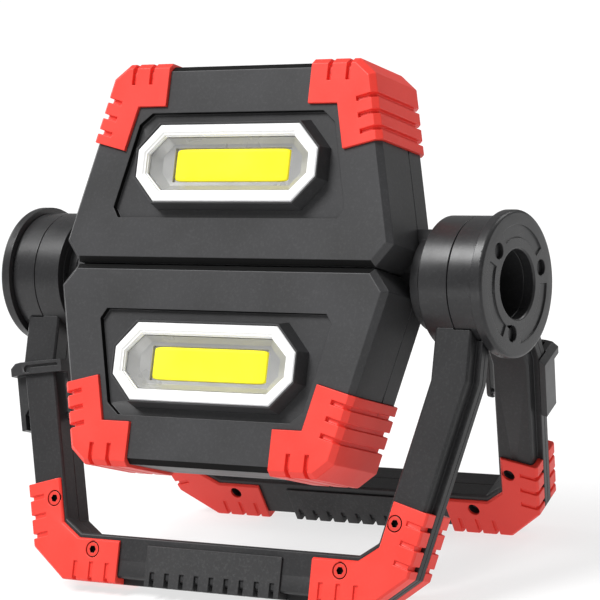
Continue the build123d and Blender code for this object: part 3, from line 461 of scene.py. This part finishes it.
# Rings of each eight-sided piece: flat half length and height, side half length and height, and
# how far out; then its corners' rounding
OCTAGONS = {
    "lamp_frame": ([
        (31.5, 14.7, 40.9, 5.2, 33.25), (31.7, 14.9, 41.1, 5.3, 33.6),
        (31.7, 14.9, 41.1, 5.3, 36.1), (31.3, 14.4, 40.6, 5.1, 36.55),
        (30.2, 12.0, 38.1, 4.25, 36.55), (29.95, 11.5, 37.5, 4.1, 36.0),
        (29.7, 11.0, 37.0, 3.95, 36.0), (29.6, 10.8, 36.8, 3.9, 35.3),
        (29.4, 10.35, 36.45, 3.75, 35.3), (29.4, 10.35, 36.45, 3.75, 33.25),
    ], 0.1),
    "bezel": ([
        (33.0, 17.2, 43.3, 6.2, 30.6), (32.3, 15.6, 41.9, 5.8, 36.6),
        (31.85, 15.05, 41.25, 5.36, 36.6), (31.85, 15.05, 41.25, 5.36, 33.2),
        (30.5, 13.4, 39.6, 4.6, 33.2), (30.5, 13.4, 39.6, 4.6, 30.6),
    ], 0.15),
    "reflector": ([
        (29.2, 10.1, 36.15, 3.66, 34.3), (27.2, 7.9, 31.8, 3.1, 32.1),
        (26.45, 6.62, 26.57, 6.5, 31.95), (26.45, 6.62, 26.57, 6.5, 31.0),
        (30.35, 13.25, 39.45, 4.55, 31.0), (30.35, 13.25, 39.45, 4.55, 33.15),
        (29.2, 10.1, 36.15, 3.66, 33.15),
    ], 0.1),
}
# Radius and distance out of the button's skin, from the middle of its top to its stem's end
BUTTON_PROFILE = [(0.4, 0.95), (2.2, 0.9), (2.5, 1.25), (3.0, 1.25), (3.3, 0.8), (5.2, 0.75),
                  (5.8, 1.1), (6.0, 1.7), (6.0, 3.9), (7.2, 3.9), (7.2, 4.9), (2.0, 4.9),
                  (2.0, 7.1)]
BUTTON_CENTRE = 58.0        # from the hub axis
BUTTON_ROUNDING = 0.12
EMITTER_HALF = (26.3, 6.35)
EMITTER_LOW, EMITTER_HIGH = 31.0, 32.2
EMITTER_SQUARE = 14.0       # how square the gel's outline is: 2 is an ellipse
EMITTER_RIM = 12            # how steeply its rim rises
EMITTER_INSIDE = 0.96       # how far in its last ring is


def at_head(head, across, up, out):
    """Points in a head's own directions, in millimetres, turned into the row frame."""
    side = 1.0 if head == "upper" else -1.0
    normal = np.array(FACE_NORMAL)
    over = np.array((side, 0.0, 0.0))
    away = np.cross(normal, over)
    steps = [np.asarray(v, float)[..., None] for v in (across, up, out)]
    return np.array(HUB) + MM * (steps[0] * over + steps[1] * away + steps[2] * normal)


def make_skin(name, rings, looped):
    """Faces over a grid of points: rows along the profile, columns round the path.

    A looped skin joins its last row to its first; another has its two ends closed flat.
    """
    rows, columns = rings.shape[:2]
    index = np.arange(rows * columns).reshape(rows, columns)
    last = rows if looped else rows - 1
    first = index[np.arange(last)]
    second = index[(np.arange(last) + 1) % rows]
    quads = np.stack([first, np.roll(first, -1, 1), np.roll(second, -1, 1), second], -1)
    faces = quads.reshape(-1, 4).tolist()
    if not looped:
        faces += [index[0][::-1].tolist(), index[-1].tolist()]
    mesh = bpy.data.meshes.new(name)
    mesh.from_pydata(rings.reshape(-1, 3).tolist(), [], faces)
    work = bmesh.new()
    work.from_mesh(mesh)
    bmesh.ops.recalc_face_normals(work, faces=work.faces)
    work.to_mesh(mesh)
    work.free()
    return bpy.data.objects.new(name, mesh)


def make_octagon(head, part):
    """An eight-sided piece: its profile carried round the lamp.

    Row i is the octagon of the part's ring i; column j is its corner j.
    """
    table, rounding = OCTAGONS[part]
    flat, high, side, low, out = np.array(table).T
    across = np.stack([flat, side, side, flat, -flat, -side, -side, -flat], 1)
    up = np.stack([-high, -low, low, high, high, low, -low, -high], 1) + LAMP_CENTRE
    rings = at_head(head, across, up, np.broadcast_to(out[:, None], across.shape))
    piece = make_skin(f"{head}_{part}_eight_sided", rings, looped=True)
    add_rounding(piece, rounding)
    finish_piece(piece, f"{head}_{part}", SLOTS[f"{head}_{part}"])


def make_emitter(head, columns=96, rows=14):
    """The phosphor gel: shrinking superellipses that rise to a low crown.

    At share t of the way in, the outline's scale is 1 - t and its height is
    low + rise * (1 - (1 - t) ** EMITTER_RIM) ** 0.5, so the rim is steep and the top nearly flat.
    """
    turn = np.linspace(0, 2 * np.pi, columns, endpoint=False)
    power = 2.0 / EMITTER_SQUARE
    outline = [np.sign(f) * np.abs(f) ** power for f in (np.cos(turn), np.sin(turn))]
    share = 1 - np.linspace(1, 1 - EMITTER_INSIDE, rows) ** 0.5
    share = share / share[-1] * EMITTER_INSIDE
    scale = (1 - share)[:, None]
    height = EMITTER_LOW + (EMITTER_HIGH - EMITTER_LOW) * (1 - (1 - share) ** EMITTER_RIM) ** 0.5
    across = scale * outline[0][None, :] * EMITTER_HALF[0]
    up = scale * outline[1][None, :] * EMITTER_HALF[1] + LAMP_CENTRE
    rings = at_head(head, across, up, np.broadcast_to(height[:, None], across.shape))
    piece = make_skin(f"{head}_phosphor_gel", rings, looped=False)
    piece.data.shade_smooth()
    finish_piece(piece, f"{head}_led_emitter", "yellow_emitter")


def make_button(head, columns=64):
    """A rubber push button: BUTTON_PROFILE's radius and height, turned round its own axis."""
    turn = np.linspace(0, 2 * np.pi, columns, endpoint=False)[None, :]
    radius, out = np.array(BUTTON_PROFILE).T[:, :, None]
    across, up = radius * np.cos(turn), radius * np.sin(turn) + BUTTON_CENTRE
    piece = make_skin(f"{head}_button_cap", at_head(head, across, up, out + 0 * turn), looped=False)
    add_rounding(piece, BUTTON_ROUNDING)
    finish_piece(piece, f"{head}_button", "rubber_button")


for head in ("upper", "lower"):
    for part in OCTAGONS:
        make_octagon(head, part)
    make_emitter(head)
    make_button(head)
shaped = {f"{head}_{part}" for head in ("upper", "lower")
          for part in (*OCTAGONS, "led_emitter", "button")}
for node, slot in SLOTS.items():
    if slot in ROUNDING and node not in shaped:
        make_moulding(node)
    elif node not in shaped:
        finish = frame["nodes"][node].data.materials
        finish.clear()
        finish.append(FINISHES[slot])
